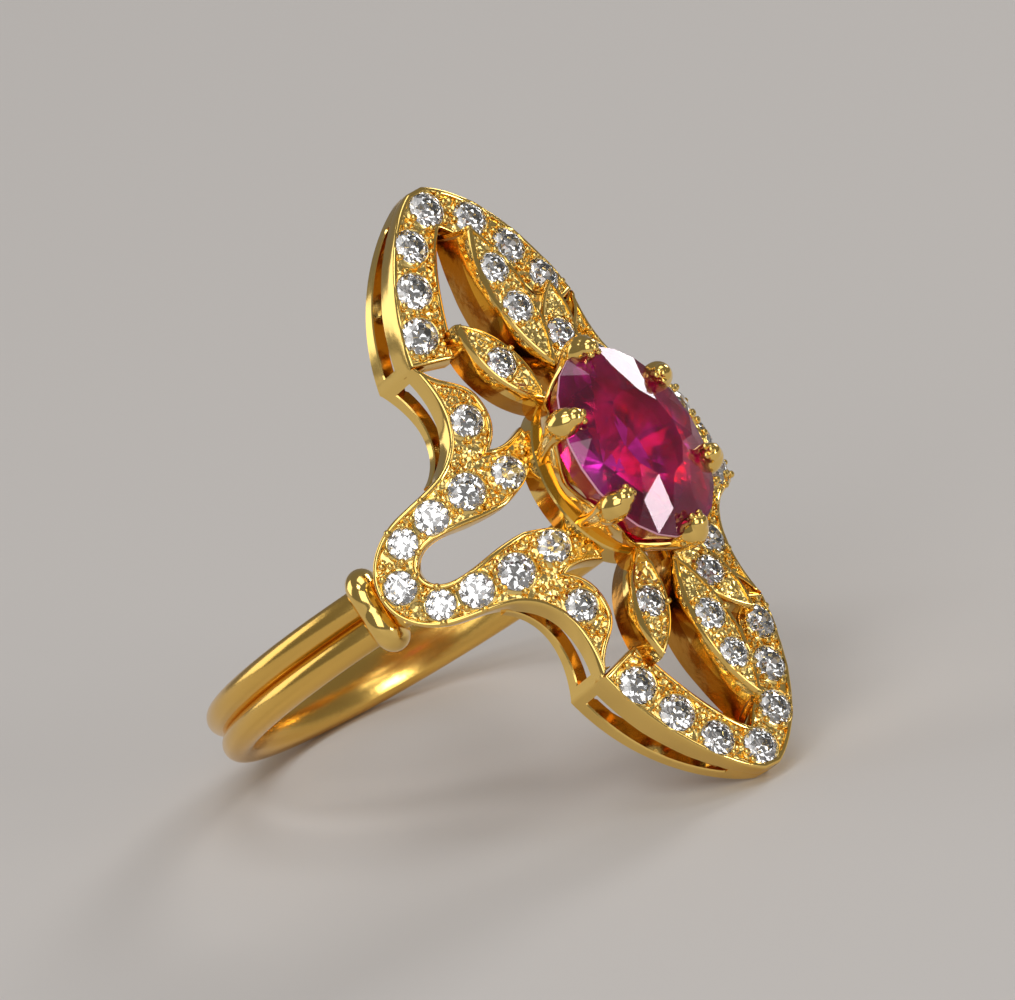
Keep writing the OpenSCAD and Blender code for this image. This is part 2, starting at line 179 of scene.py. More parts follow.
def above(height):
    """1 where the ruby's surface is higher over the face than a height in mm."""
    inputs = [(0, up_face.outputs["Value"]), (1, (FACE_H + height) / 1000)]
    return add(RUBY, "ShaderNodeMath", inputs, operation="GREATER_THAN").outputs[0]


def between(low, high):
    """1 between two heights over the face."""
    return add(RUBY, "ShaderNodeMath", [(0, above(low)), (1, above(high))], operation="SUBTRACT").outputs[0]


# The belly under the girdle is coarsely polished, and painted a darker red and made less clear as the shade of the
# bowl round it; the girdle is left bruted as a fine pale band
belly, girdle = between(BELLY_H, GIRDLE[0]), between(*GIRDLE)
# A colour mix has its factor in socket 0, its two colours in 6 and 7, and its result in output 2
ruby_tone = tones.outputs["Color"]
for zone, colour in ((belly, "#B80628"), (girdle, "#F0B4CC")):
    inputs = [(0, zone), (6, ruby_tone), (7, linear(colour))]
    ruby_tone = add(RUBY, "ShaderNodeMix", inputs, data_type="RGBA").outputs[2]
RUBY.node_tree.links.new(ruby_tone, ruby_shader.inputs["Base Color"])
# The same two zones by a multiply and add each, from the value on the facets, in the belly and on the girdle
# The belly's lower clearness, with its deep red, is painted shade
ZONED = (("Roughness", 0.09, 0.14, 0.5), ("Transmission Weight", 0.94, 0.6, 0.0))
for socket, on_facets, in_belly, in_girdle in ZONED:
    value = on_facets
    for zone, in_zone in ((belly, in_belly), (girdle, in_girdle)):
        inputs = [(0, zone), (1, in_zone - on_facets), (2, value)]
        value = add(RUBY, "ShaderNodeMath", inputs, operation="MULTIPLY_ADD").outputs[0]
    RUBY.node_tree.links.new(value, ruby_shader.inputs[socket])


# Meshes

def to_rest(p):
    """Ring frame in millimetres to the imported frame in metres: x' = x cos t + z sin t, z' = z cos t - x sin t."""
    c, s = math.cos(REST_TILT), math.sin(REST_TILT)
    x, y, z = p[..., 0], p[..., 1], p[..., 2]
    return np.stack([x * c + z * s, y, z * c - x * s], -1) / 1000


def unit(v):
    """Vectors made one long."""
    return v / np.maximum(np.linalg.norm(v, axis=-1, keepdims=True), 1e-12)


def grid_faces(rows, cols, closed=False):
    """Quads between the points of a grid whose rows are rings; closed joins the last row to the first."""
    i, j = np.meshgrid(np.arange(rows - (not closed)), np.arange(cols), indexing="ij")
    k, m = (i + 1) % rows, (j + 1) % cols
    return np.stack([i * cols + j, k * cols + j, k * cols + m, i * cols + m], -1).reshape(-1, 4)


def end_caps(stations, size):
    """The first and the last ring of points of an open sweep, as faces."""
    return [list(range(size))[::-1], [(stations - 1) * size + k for k in range(size)]]


class Shape:
    """Points and faces gathered from several closed parts."""

    def __init__(self):
        self.points, self.faces, self.marks, self.count = [], [], [], 0

    def part(self, points, quads, caps=(), inside=None):
        """Adds one closed part and turns its faces outwards by the sign of its volume; inside marks the quads that
        take the darker gold of painted shade.
        """
        points = np.asarray(points, float).reshape(-1, 3)
        tris = [quads[:, [0, 1, 2]], quads[:, [0, 2, 3]]]
        tris += [np.array([[c[0], c[i], c[i + 1]] for i in range(1, len(c) - 1)]) for c in caps]
        t = np.concatenate(tris)
        a, b, c = (points[t[:, i]] - points.mean(0) for i in range(3))
        outward = np.einsum("ij,ij->i", a, np.cross(b, c)).sum() > 0
        self.marks.append(np.zeros(len(quads), int) if inside is None else inside.astype(int))
        self.marks += [np.zeros(1, int)] * len(caps)
        for group in [quads] + [np.array([c]) for c in caps]:
            group = group if outward else group[:, ::-1]
            self.faces.append(group + self.count)
        self.points.append(points)
        self.count += len(points)

    def sweep(self, path, inward, up, profile, closed):
        """P(i, j) = path(i) + profile_x(i, j) inward(i) + profile_y(i, j) up(i): a profile carried along a path."""
        n, m = len(path), profile.shape[-2]
        prof = np.broadcast_to(profile, (n, m, 2))
        p = path[:, None] + prof[..., :1] * inward[:, None] + prof[..., 1:] * up[:, None]
        self.part(p, grid_faces(n, m, closed), [] if closed else end_caps(n, m))

    def mirrored(self, *signs):
        """Adds the mirror images of all that is there, one for each (x, y) pair of signs."""
        points, faces, marks = list(self.points), list(self.faces), list(self.marks)
        size = self.count
        for sx, sy in signs:
            self.marks += marks
            for p in points:
                self.points.append(p * [sx, sy, 1])
            for f in faces:
                g = f + self.count
                self.faces.append(g[:, ::-1] if sx * sy < 0 else g)
            self.count += size

    def piece(self, name, material, sharp=35):
        """Makes the Blender object, which rides on the root body and is part of the mount."""
        points = to_rest(np.concatenate(self.points))
        mesh = bpy.data.meshes.new(name)
        mesh.vertices.add(len(points))
        mesh.vertices.foreach_set("co", points.astype(np.float32).ravel())
        sizes = np.concatenate([np.full(len(f), f.shape[1]) for f in self.faces])
        loops = np.concatenate([f.ravel() for f in self.faces])
        mesh.loops.add(len(loops))
        mesh.loops.foreach_set("vertex_index", loops.astype(np.int32))
        mesh.polygons.add(len(sizes))
        starts = np.concatenate([[0], np.cumsum(sizes)[:-1]])
        mesh.polygons.foreach_set("loop_start", starts.astype(np.int32))
        mesh.polygons.foreach_set("use_smooth", np.ones(len(sizes), bool))
        mesh.update(calc_edges=True)
        mesh.set_sharp_from_angle(angle=math.radians(sharp))
        mesh.materials.append(material)
        marks = np.concatenate(self.marks)
        # Marked quads take the darker gold of painted shade
        if marks.any():
            mesh.materials.append(PAINTED_SHADE_GOLD)
            mesh.polygons.foreach_set("material_index", marks.astype(np.int32))
        o = bpy.data.objects.new(name, mesh)
        bpy.context.scene.collection.objects.link(o)
        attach(o, "root")
        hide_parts("mount")


# Outlines

def bezier(c, n):
    """B(t) of four control points at n even steps of t, without the last point."""
    t = np.linspace(0, 1, n, endpoint=False)[:, None]
    c = np.asarray(c, float)
    return (1 - t) ** 3 * c[0] + 3 * (1 - t) ** 2 * t * c[1] + 3 * (1 - t) * t * t * c[2] + t ** 3 * c[3]


CORNER = math.radians(25)


def resample(line, step):
    """Even points along an open line, its corners kept: a corner turns by more than CORNER."""
    d = np.diff(line, axis=0)
    keep = np.linalg.norm(d, axis=1) > 1e-9
    line = np.concatenate([line[:1], line[1:][keep]])
    d = unit(np.diff(line, axis=0))
    turning = np.einsum("ij,ij->i", d[:-1], d[1:]) < math.cos(CORNER)
    corners = [0, *(np.nonzero(turning)[0] + 1), len(line) - 1]
    out = []
    for a, b in zip(corners[:-1], corners[1:]):
        part = line[a:b + 1]
        along = np.concatenate([[0], np.cumsum(np.linalg.norm(np.diff(part, axis=0), axis=1))])
        n = max(int(round(along[-1] / step)), 1)
        at = np.linspace(0, along[-1], n + 1)[:-1]
        out.append(np.stack([np.interp(at, along, part[:, k]) for k in range(2)], 1))
    return np.concatenate(out + [line[-1:]])


def side_normals(line, closed):
    """Unit normals to the left of a line, up to 1.7 times as long at corners so that an offset keeps its width."""
    before = line - np.roll(line, 1, 0)
    after = np.roll(line, -1, 0) - line
    if not closed:
        before[0], after[-1] = after[0], before[-1]
    a, b = unit(before), unit(after)
    t = unit(a + b)
    stretch = np.clip(1 / np.sqrt(np.maximum((1 + np.einsum("ij,ij->i", a, b)) / 2, 0.2)), 1, 1.7)
    return np.stack([-t[:, 1], t[:, 0]], 1) * stretch[:, None]


def gable_line():
    """One gable's closed outline, metal on the left."""
    out = np.concatenate([bezier(GABLE_OUT, 60), [GABLE_OUT[3]]])
    hollow = np.concatenate([bezier(GABLE_IN, 40), [GABLE_IN[3]]])
    half = np.concatenate([out, hollow[::-1]])
    return np.concatenate([half, (half * [1, -1])[::-1][1:]])


def side_line():
    """One lobe with its hooks and leaf tips, metal on the left."""
    edge = np.concatenate([bezier(WAIST, 50), bezier(LOBE_SIDE, 20), bezier(LOBE_END, 30), [LOBE_END[3]]])
    hollow = np.concatenate([bezier(HOOK_BACK, 30), bezier(HOOK_TIP, 20), bezier(LEAF_TIP_OUT, 20),
                             bezier(LEAF_TIP_IN, 30), bezier(SLOT_SIDE, 30), bezier(SLOT_END, 16), [SLOT_END[3]]])
    outer = np.concatenate([edge, (edge * [-1, 1])[::-1][1:]])
    inner = np.concatenate([hollow, (hollow * [-1, 1])[::-1][1:]])
    return np.concatenate([outer, inner[::-1]])


def bend(x, s, h=0.0):
    """The flat point (x, s) on the bent face, h over it: a circle of radius BEND_R beside the flat middle."""
    a = np.maximum(np.abs(s) - FLAT, 0) / BEND_R
    y = np.sign(s) * (np.minimum(np.abs(s), FLAT) + (BEND_R + h) * np.sin(a))
    return np.stack([x + 0 * y, y, FACE_H - BEND_R + (BEND_R + h) * np.cos(a)], -1)


def wall_up(s):
    """Upward direction of the plate's side walls: upright near the middle, square to the face on the lobes."""
    a = np.maximum(np.abs(s) - FLAT, 0) / BEND_R
    t = np.clip((np.degrees(a) - 24) / 12, 0, 1)
    a = a * t * t * (3 - 2 * t)
    return np.stack([0 * a, np.sign(s) * np.sin(a), np.cos(a)], -1)


# Rounded top of a rim: share of its width, height
RIM = np.array([[0.0, -0.15], [0.06, -0.075], [0.18, -0.025], [0.4, 0.0], [0.65, 0.0], [0.86, -0.02], [1.0, -0.07]])
# Points of a rim's section that lie under the floor or against it, out of sight
RIM_BACK = 4
# Widest rim of the plate and of the leaves, narrowest rim, and how far a rim laps over a stone's edge
PLATE_RIM, LEAF_RIM, LEAST_RIM, LAP = 0.2, 0.18, 0.08, 0.02


def rim_profile(depth, width):
    """Side wall, rounded rim and inner slope, one row for each depth and width."""
    out = np.empty((len(depth), 2 + len(RIM) + RIM_BACK, 2))
    out[:, 0] = np.stack([0 * depth + 0.02, -depth], 1)
    out[:, 1] = [0.0, -0.45]
    out[:, 2:-RIM_BACK, 0] = width[:, None] * RIM[:, 0]
    out[:, 2:-RIM_BACK, 1] = RIM[:, 1]
    out[:, -4] = np.stack([width + 0.05, 0 * depth - 0.17], 1)
    out[:, -3] = np.stack([width + 0.1, 0 * depth - 0.3], 1)
    out[:, -2] = np.stack([width + 0.1, -depth + 0.02], 1)
    out[:, -1] = np.stack([width + 0.08, -depth], 1)
    return out


def rim_width(line, near, most):
    """Width of the rim: all of it where there is room, narrower beside a stone, whose edge it laps."""
    room = np.full(len(line), most - LAP)
    for x, s, d in near:
        room = np.minimum(room, np.hypot(line[:, 0] - x, line[:, 1] - s) - d / 2)
    return np.maximum(room + LAP, LEAST_RIM)


def inside(points, line):
    """Whether each point lies inside a closed line: the line crosses the ray towards +x an odd number of times."""
    a, b = line, np.roll(line, -1, 0)
    x, y = points[:, :1], points[:, 1:]
    rise = np.where(b[:, 1] == a[:, 1], 1e-9, b[:, 1] - a[:, 1])
    met = ((a[:, 1] > y) != (b[:, 1] > y)) & (x < (b[:, 0] - a[:, 0]) * (y - a[:, 1]) / rise + a[:, 0])
    return met.sum(1) % 2 == 1


def within_room(profile_x, line, n):
    """Keeps each point's offsets along n within 0.9 of the way, up to 0.26 mm, to the closed line's other side."""
    steps = np.linspace(0.02, 0.26, 13)
    free = inside((line[:, None] + steps[:, None] * n[:, None]).reshape(-1, 2), line).reshape(len(line), -1)
    room = np.where(np.cumprod(free, 1) > 0, steps, 0.01).max(1)
    return np.minimum(profile_x, np.maximum(0.9 * room, 0.05)[:, None])


def edge_distance(points, line):
    """Distance from each point to the nearest edge of a closed line."""
    a, d = line, np.roll(line, -1, 0) - line
    t = np.clip(((points[:, None] - a) * d).sum(-1) / np.maximum((d * d).sum(-1), 1e-12), 0, 1)
    return np.linalg.norm(points[:, None] - a - t[..., None] * d, axis=-1).min(1)


def plate_rim(shape, line, depth):
    """The rim carried along a closed flat outline: P = bend(line + x n) + h up."""
    n = side_normals(line, True)
    prof = rim_profile(depth, rim_width(line, flat_stones, PLATE_RIM))
    prof[..., 0] = within_room(prof[..., 0], line, n)
    flat = line[:, None] + prof[..., :1] * n[:, None]
    p = bend(flat[..., 0], flat[..., 1]) + prof[..., 1:] * wall_up(line[:, 1])[:, None]
    size = prof.shape[1]
    # The rim's back, under the floor, takes the darker gold of painted shade
    shade_quads = np.tile(np.arange(size) >= size - RIM_BACK, len(line))
    shape.part(p, grid_faces(len(line), size, True), inside=shade_quads)


# Distance from one cut ridge to the next, side of one cut of the graver, and its greatest tilt as rise over run
RIDGE, CUT, CUT_TILT = 0.22, 0.21, 0.09
# Turn of the field of cuts by 37 degrees, and the size of the table that their tilts repeat over
CUT_TURN = np.array([[0.8, -0.6], [0.6, 0.8]])
TILTS = (97, 89)
# Distance between the points of a floor, and from them to its edge and to a stone
FLOOR_CELL, FLOOR_EDGE = 0.06, 0.03


def strokes(points, line, top, depth):
    """Height of the cut floor: top + depth (|2 frac(d / RIDGE) - 1| - 0.5), d from the edge, and tilted cuts."""
    rng = np.random.default_rng(3)
    d = np.zeros(len(points))
    near = inside(points, line)
    d[near] = edge_distance(points[near], line[::2])
    ridge = np.abs(2 * ((d / RIDGE) % 1) - 1)
    across = points @ CUT_TURN / CUT
    cell = np.floor(across).astype(int)
    tilt = rng.uniform(-1, 1, (*TILTS, 2))[tuple((cell % TILTS).T)]
    return top + depth * (ridge - 0.5) + CUT_TILT * (tilt * (across - cell - 0.5)).sum(1)


def slab(shape, line, near, surface, top, bottom, depth):
    """A floor between two heights: the cells of an even grid that lie inside the line and outside the stones."""
    lo, hi = line.min(0) - FLOOR_CELL, line.max(0) + FLOOR_CELL
    nx, ny = (np.ceil((hi - lo) / FLOOR_CELL)).astype(int)
    steps = (lo[k] + FLOOR_CELL * np.arange(n + 1) for k, n in enumerate((nx, ny)))
    gx, gy = np.meshgrid(*steps, indexing="ij")
    pts = np.stack([gx.ravel(), gy.ravel()], 1)
    good = inside(pts, line)
    good[good] = edge_distance(pts[good], line[::3]) > FLOOR_EDGE
    for x, s, d in near:
        good &= np.hypot(pts[:, 0] - x, pts[:, 1] - s) > d / 2 + FLOOR_EDGE
    good = good.reshape(nx + 1, ny + 1)
    cells = good[:-1, :-1] & good[1:, :-1] & good[:-1, 1:] & good[1:, 1:]
    idx = np.arange(good.size).reshape(nx + 1, ny + 1)
    size = idx.size
    i, j = np.nonzero(cells)
    over = np.stack([idx[i, j], idx[i + 1, j], idx[i + 1, j + 1], idx[i, j + 1]], 1)
    faces = [over, over[:, ::-1] + size]
    padded = np.pad(cells, 1)
    # Each side of a cell: the step to the cell beyond it, and the side's two corners
    sides = (
        ((-1, 0), (0, 1), (0, 0)), ((1, 0), (1, 0), (1, 1)),
        ((0, -1), (0, 0), (1, 0)), ((0, 1), (1, 1), (0, 1)),
    )
    for (di, dj), c0, c1 in sides:
        i, j = np.nonzero(cells & ~padded[1 + di:1 + di + nx, 1 + dj:1 + dj + ny])
        a, b = idx[i + c0[0], j + c0[1]], idx[i + c1[0], j + c1[1]]
        faces.append(np.stack([b, a, a + size, b + size], 1))
    # The floor's underside and sides take the darker gold of painted shade
    under = np.arange(sum(len(f) for f in faces)) >= len(over)
    faces = np.concatenate(faces)
    heights = (strokes(pts, line, top, depth), bottom)
    p = np.concatenate([surface(pts[:, 0], pts[:, 1], h) for h in heights])
    used = np.unique(faces)
    new = np.zeros(len(p), int)
    new[used] = np.arange(len(used))
    shape.part(p[used], new[faces], inside=under)


def all_stones():
    """x, s, diameter, height and direction of every small stone."""
    out = []
    for x, s, d, h, way in STONES:
        for sx in (1, -1) if x else (1,):
            for sy in (1, -1) if s else (1,):
                out.append((x * sx, s * sy, d, h, way if sx * sy > 0 else -way))
    return np.array(out)


def stone_axes(stones):
    """Centre on the face and the axes (along x, across, out) of each stone."""
    x, s, h = stones[:, 0], stones[:, 1], stones[:, 3]
    centre = bend(x, s) + np.stack([0 * h, 0 * h, h], 1)
    out = unit(bend(x, s, 1.0) - bend(x, s, 0.0))
    e1 = np.tile([1.0, 0, 0], (len(x), 1))
    return centre, np.stack([e1, np.cross(out, e1), out], 1)


stones = all_stones()
centres, axes = stone_axes(stones)


# Head plate: polished rims, engraved floors
def gable_depth(x):
    """Depth of the gable's outer wall, less towards the tip, where the rail meets it."""
    return np.interp(x, [8.6, 9.2, 10.1, 11.0], [1.05, 0.98, 0.89, 0.69])


# Distance between the points of a rim, and the floors' height, depth of cut and underside
RIM_STEP = 0.09
PLATE_FLOOR = dict(top=-0.12, bottom=-PLATE_T, depth=0.015)
flat_stones = [(x, s, d) for x, s, d, h, way in stones if h == 0]
rims, floors = Shape(), Shape()
gable = resample(gable_line(), RIM_STEP)[:-1]
# Along the outer edge the wall has the depth above, elsewhere it reaches just past the plate
outer = np.concatenate([bezier(GABLE_OUT, 60), [GABLE_OUT[3]]])
on_edge = np.zeros(len(gable), bool)
for sign in (1, -1):
    on_edge |= edge_distance(gable, resample(outer * [1, sign], 0.2)) < 0.02
plate_rim(rims, gable, np.where(on_edge, gable_depth(gable[:, 0]), PLATE_T + 0.02))
slab(floors, gable, flat_stones, bend, **PLATE_FLOOR)
side_rims, side_floors = Shape(), Shape()
side = resample(side_line(), RIM_STEP)
plate_rim(side_rims, side, np.interp(np.abs(side[:, 1]), [3.9, 4.8, 5.6], [0.74, 0.85, 0.87]))
slab(side_floors, side, flat_stones, bend, **PLATE_FLOOR)
for shape, sign in ((rims, (-1, 1)), (floors, (-1, 1)), (side_rims, (1, -1)), (side_floors, (1, -1))):
    shape.mirrored(sign)
rims.piece("gable_rims", POLISHED)
floors.piece("gable_floors", ENGRAVED)
side_rims.piece("lobe_rims", POLISHED)
side_floors.piece("lobe_floors", ENGRAVED)


# Gallery rail and its posts
def height_at(x, curve):
    """Height over x of a curve in (x, height)."""
    pts = np.concatenate([bezier(curve, 40), [curve[3]]])
    return np.interp(x, pts[:, 0], pts[:, 1])


def rail():
    """P = bend(outline + w n) at a height h: a band whose section (w, h) is carried along the outline.

    Its top and bottom edges are given over x, and it has its full height at the posts and the tips.
    """
    edge = resample(np.concatenate([bezier(GABLE_OUT, 60), bezier(WAIST, 50), [WAIST[3]]]), RIM_STEP)
    corner = np.argmin(np.linalg.norm(edge - GABLE_OUT[3], axis=1))
    x = edge[:, 0]
    by_gable = np.arange(len(x)) <= corner
    top = np.where(by_gable, height_at(x, RAIL_OVER_GABLE), height_at(x, RAIL_OVER_WAIST))
    under = np.where(by_gable, height_at(x, RAIL_UNDER_GABLE), height_at(x, RAIL_UNDER_WAIST))
    full = (x > 11.25) | ((x > 6.08) & (x < 6.78))
    top = np.where(full, -0.6, top)
    # Where a post begins or ends its station comes twice, the first time with the height before the step
    steps = np.nonzero(np.diff(full.astype(int)))[0]
    order = np.sort(np.concatenate([np.arange(len(x)), steps + 1]))
    second = np.nonzero(np.concatenate([[False], order[1:] == order[:-1]]))[0]
    tops = top[order]
    tops[second - 1] = top[order[second] - 1]
    line, under = edge[order], under[order]
    half = np.concatenate([line[::-1], line * [1, -1]])
    tops, under = (np.concatenate([q[::-1], q]) for q in (tops, under))
    n = -side_normals(half, False)
    n[np.linalg.norm(n, axis=1) < 0.5] = 0
    width = RAIL_W + np.interp(half[:, 0], [7.6, 8.8, 10.2, 11], [0, 0.25, 0.25, 0.1])
    to_corner = np.hypot(half[:, 0] - GABLE_OUT[3][0], np.abs(half[:, 1]) - GABLE_OUT[3][1])
    width = np.minimum(width, 0.12 + 0.8 * to_corner)
    # Section with small round corners: share of the width, offset, edge that the height starts from, offset
    r = 0.05
    section = (
        (0, r, tops, 0), (0, HAIR, tops, -r), (0, HAIR, under, r), (0, r, under, 0),
        (1, -r, under, 0), (1, 0, under, r), (1, 0, tops, -r), (1, -r, tops, 0),
    )
    out = np.stack([share * width + offset for share, offset, edge, up in section], 1)
    plan = half[:, None] + out[..., None] * n[:, None]
    p = bend(plan[..., 0], plan[..., 1])
    p[..., 2] = FACE_H + np.stack([edge + up for share, offset, edge, up in section], 1)
    stations, size = len(half), len(section)
    shape = Shape()
    # The rail's inner side, seen through the slots, takes the darker gold of painted shade
    shade_quads = np.tile(np.isin(np.arange(size), (4, 5, 6)), stations - 1)
    shape.part(p, grid_faces(stations, size), end_caps(stations, size), shade_quads)
    shape.mirrored((-1, 1))
    return shape


rail().piece("gallery_rails", POLISHED, 30)


# Shank: two wires with a groove between them, flat inside
def shank_profile():
    """Radial and axial points of both wires as one closed line: circles of radius WIRE_D / 2, cut at the bore."""
    r = WIRE_D / 2
    first, last = math.acos(-(WIRE_R - BORE_R) / r), math.acos(WIRE_HALF_PITCH / r)
    a = np.linspace(first, -math.pi / 2 + last, 28)
    right = np.stack([WIRE_R + r * np.cos(a), WIRE_HALF_PITCH + r * np.sin(a)], 1)
    return np.concatenate([right, (right * [1, -1])[::-1][1:]])


def about_finger(radial, axial, angle):
    """Points at an angle round the finger from the middle of the head, towards +y."""
    return np.stack([axial + 0 * angle, radial * np.sin(angle), radial * np.cos(angle)], -1)


shank = Shape()
turn = np.linspace(WIRE_END, 2 * math.pi - WIRE_END, 260)
section = shank_profile()
wires = about_finger(section[None, :, 0], section[None, :, 1], turn[:, None])
shank.part(wires, grid_faces(len(turn), len(section)), end_caps(len(turn), len(section)))
# The seats that solder the wires to the lobes
seat_turn = np.radians(np.linspace(41.5, 47, 8))
box = np.array([[WIRE_R, -1.05], [10.35, -1.05], [10.35, 1.05], [WIRE_R, 1.05]])
for sign in (1, -1):
    seat = about_finger(box[None, :, 0], box[None, :, 1], sign * seat_turn[:, None])
    shank.part(seat, grid_faces(len(seat_turn), len(box)), end_caps(len(seat_turn), len(box)))
shank.piece("shank_wires", WIRE, 50)


def collar():
    """A half-round section carried round both wires, drawn in between them as a bound band is."""
    r = WIRE_D / 2 - 0.02
    a = np.linspace(-math.pi / 2, math.pi / 2, 24)
    ends = np.stack([WIRE_HALF_PITCH + r * np.cos(a), r * np.sin(a)], 1)
    x = np.linspace(WIRE_HALF_PITCH, -WIRE_HALF_PITCH, 16)[1:-1]
    over = np.stack([x, r - COLLAR_DIP * np.cos(math.pi * x / 2 / WIRE_HALF_PITCH) ** 2], 1)
    loop = np.concatenate([ends, over, ends[::-1] * [-1, 1], over[::-1] * [1, -1]])
    out = -side_normals(loop, True)
    b = np.linspace(-math.pi / 2, math.pi / 2, 14)
    prof = np.stack([COLLAR_D / 2 * np.cos(b), COLLAR_D / 2 * np.sin(b)], 1)
    shape = Shape()
    radial = about_finger(1.0, 0.0, np.array(COLLAR_AT))
    along = np.array([0, math.cos(COLLAR_AT), -math.sin(COLLAR_AT)])
    path = WIRE_R * radial + loop[:, :1] * [1, 0, 0] + loop[:, 1:] * radial
    outward = out[:, :1] * [1, 0, 0] + out[:, 1:] * radial
    shape.sweep(path, outward, np.tile(along, (len(path), 1)), prof, True)
    shape.mirrored((1, -1))
    return shape


collar().piece("collars", POLISHED)


# Leaves: boats with a rim, an engraved floor and upright sides
def lens(half_length, half_width):
    """Two arcs of one radius r that meet at the tips: (r sin t, r cos t - r + half_width) and its mirror image."""
    r = (half_length ** 2 + half_width ** 2) / (2 * half_width)
    a = math.asin(half_length / r)
    t = np.linspace(-a, a, 60)
    low = np.stack([r * np.sin(t), -(r * np.cos(t) - (r - half_width))], 1)
    return np.concatenate([low[:-1], -low[:-1]])


def leaf_line(place):
    """A leaf's outline turned and moved to its place."""
    x0, y0, length, width, turn_deg, up = place
    c, s = math.cos(math.radians(turn_deg)), math.sin(math.radians(turn_deg))
    line = lens(length, width) @ np.array([[c, s], [-s, c]]) + [x0, y0]
    return resample(np.concatenate([line, line[:1]]), 0.08)[:-1]


# Round outer edge of a leaf: share of the rim's width, height
LEAF_EDGE = np.array([
    [0.0, -0.42], [0.02, -0.3], [0.1, -0.17], [0.24, -0.07], [0.45, -0.01], [0.65, 0.0], [0.86, -0.02], [1.0, -0.07],
])
# How far the long leaves' foot runs outwards at the tip, and how far a leaf reaches down under the face
LEAF_FLARE, LEAF_DOWN = 0.6, 0.5


def boat(shape, floor, place, flare=0.0):
    """The leaf's edge carried round its outline, over an engraved floor.

    At the outer tip the foot runs outwards by flare k^2, with k from 0 at 0.45 of the depth to 1 at the bottom.
    """
    line, up = leaf_line(place), place[5]
    n = side_normals(line, True)
    near = [(x, q, d) for x, q, d, h, way in stones if h == up]
    width = rim_width(line, near, LEAF_RIM)[:, None]
    depth = up + LEAF_DOWN
    down = np.linspace(1, 0.3, 6) * depth
    back = np.array([[0.05, -0.17], [0.1, -0.3], [0.1, 0.02 - depth], [0.08, -depth]])
    x = np.concatenate([np.zeros((len(line), len(down))), LEAF_EDGE[:, 0] * width, width + back[:, 0]], 1)
    z = np.concatenate([-down, LEAF_EDGE[:, 1], back[:, 1]])
    p = np.zeros((len(line), len(z), 3))
    p[..., :2] = line[:, None] + within_room(x, line, n)[..., None] * n[:, None]
    p[..., 2] = FACE_H + up + z
    low = np.clip((-z / depth - 0.45) / 0.55, 0, 1)
    tip = np.clip((line[:, 0] - place[0]) / place[2] / 0.55 - 0.8, 0, 1)
    p[..., 0] += flare * low ** 2 * tip[:, None]
    # Painted shade in darker gold: on the foot's four lowest rows, which rise above the floor in sight, and on the
    # back, out of sight
    row = np.arange(len(z))
    shade_quads = np.tile((row >= len(z) - len(back)) | (row < 4), len(line))
    shape.part(p, grid_faces(len(line), len(z), True), inside=shade_quads)

    def surface(x, y, h):
        return np.stack([x, y, FACE_H + up + h + 0 * x], -1)

    slab(floor, line, near, surface, -0.1, -0.8, 0.07)


leaves, leaf_floors = Shape(), Shape()
boat(leaves, leaf_floors, CENTRE_LEAF, LEAF_FLARE)
# A round bar under each long leaf
BAR_FROM, BAR_TO, BAR_H, BAR_R = 2.6, 9.2, -0.35, 0.25
path = np.linspace([BAR_FROM, 0, FACE_H + BAR_H], [BAR_TO, 0, FACE_H + BAR_H], 14)
across, upward = (np.tile(way, (len(path), 1)) for way in ([0.0, 1, 0], [0.0, 0, 1]))
turns = np.linspace(0, 2 * math.pi, 16, endpoint=False)
leaves.sweep(path, across, upward, BAR_R * np.stack([np.cos(turns), np.sin(turns)], 1), False)
small, small_floors = Shape(), Shape()
boat(small, small_floors, SMALL_LEAF)
for shape in (leaves, leaf_floors):
    shape.mirrored((-1, 1))
for shape in (small, small_floors):
    shape.mirrored((-1, 1), (1, -1), (-1, -1))
leaves.piece("centre_leaves", POLISHED)
leaf_floors.piece("centre_leaf_floors", ENGRAVED)
small.piece("small_leaves", POLISHED)
small_floors.piece("small_leaf_floors", ENGRAVED)


# Basket: base ring, scalloped bowl and claws
basket = Shape()
a = np.linspace(0, 2 * math.pi, 180, endpoint=False)
# Round-cornered section of the base ring: half width along x and y, height over the face
RING_SECTION = np.array([
    [3.2, 2.4, -0.55], [3.25, 2.45, -0.5], [3.25, 2.45, 0.38], [3.2, 2.4, 0.45],
    [2.7, 1.9, 0.45], [2.65, 1.85, 0.4], [2.65, 1.85, -0.5], [2.7, 1.9, -0.55],
])
ring = RING_SECTION * np.stack([np.cos(a), np.sin(a), 1 + 0 * a], 1)[:, None] + [0, 0, FACE_H]
basket.part(ring, grid_faces(len(a), len(RING_SECTION), True))

# Heights of the bowl over the face: foot, rim between the claws, rim at the claws
BOWL_FOOT, BOWL_DIP, BOWL_TOP = 0.2, 1.45, 2.4
# Section of its wall, up the outside and down the inside: share of the height, inset
BOWL_WALL = (
    (0, 0), (0.2, -0.05), (0.4, -0.08), (0.6, -0.08), (0.8, -0.05), (0.96, 0.0), (0.99, 0.03),
    (1, 0.07), (1, 0.13), (0.97, 0.17), (0.8, 0.19), (0.6, 0.25), (0.3, 0.85), (0, 1.25),
)


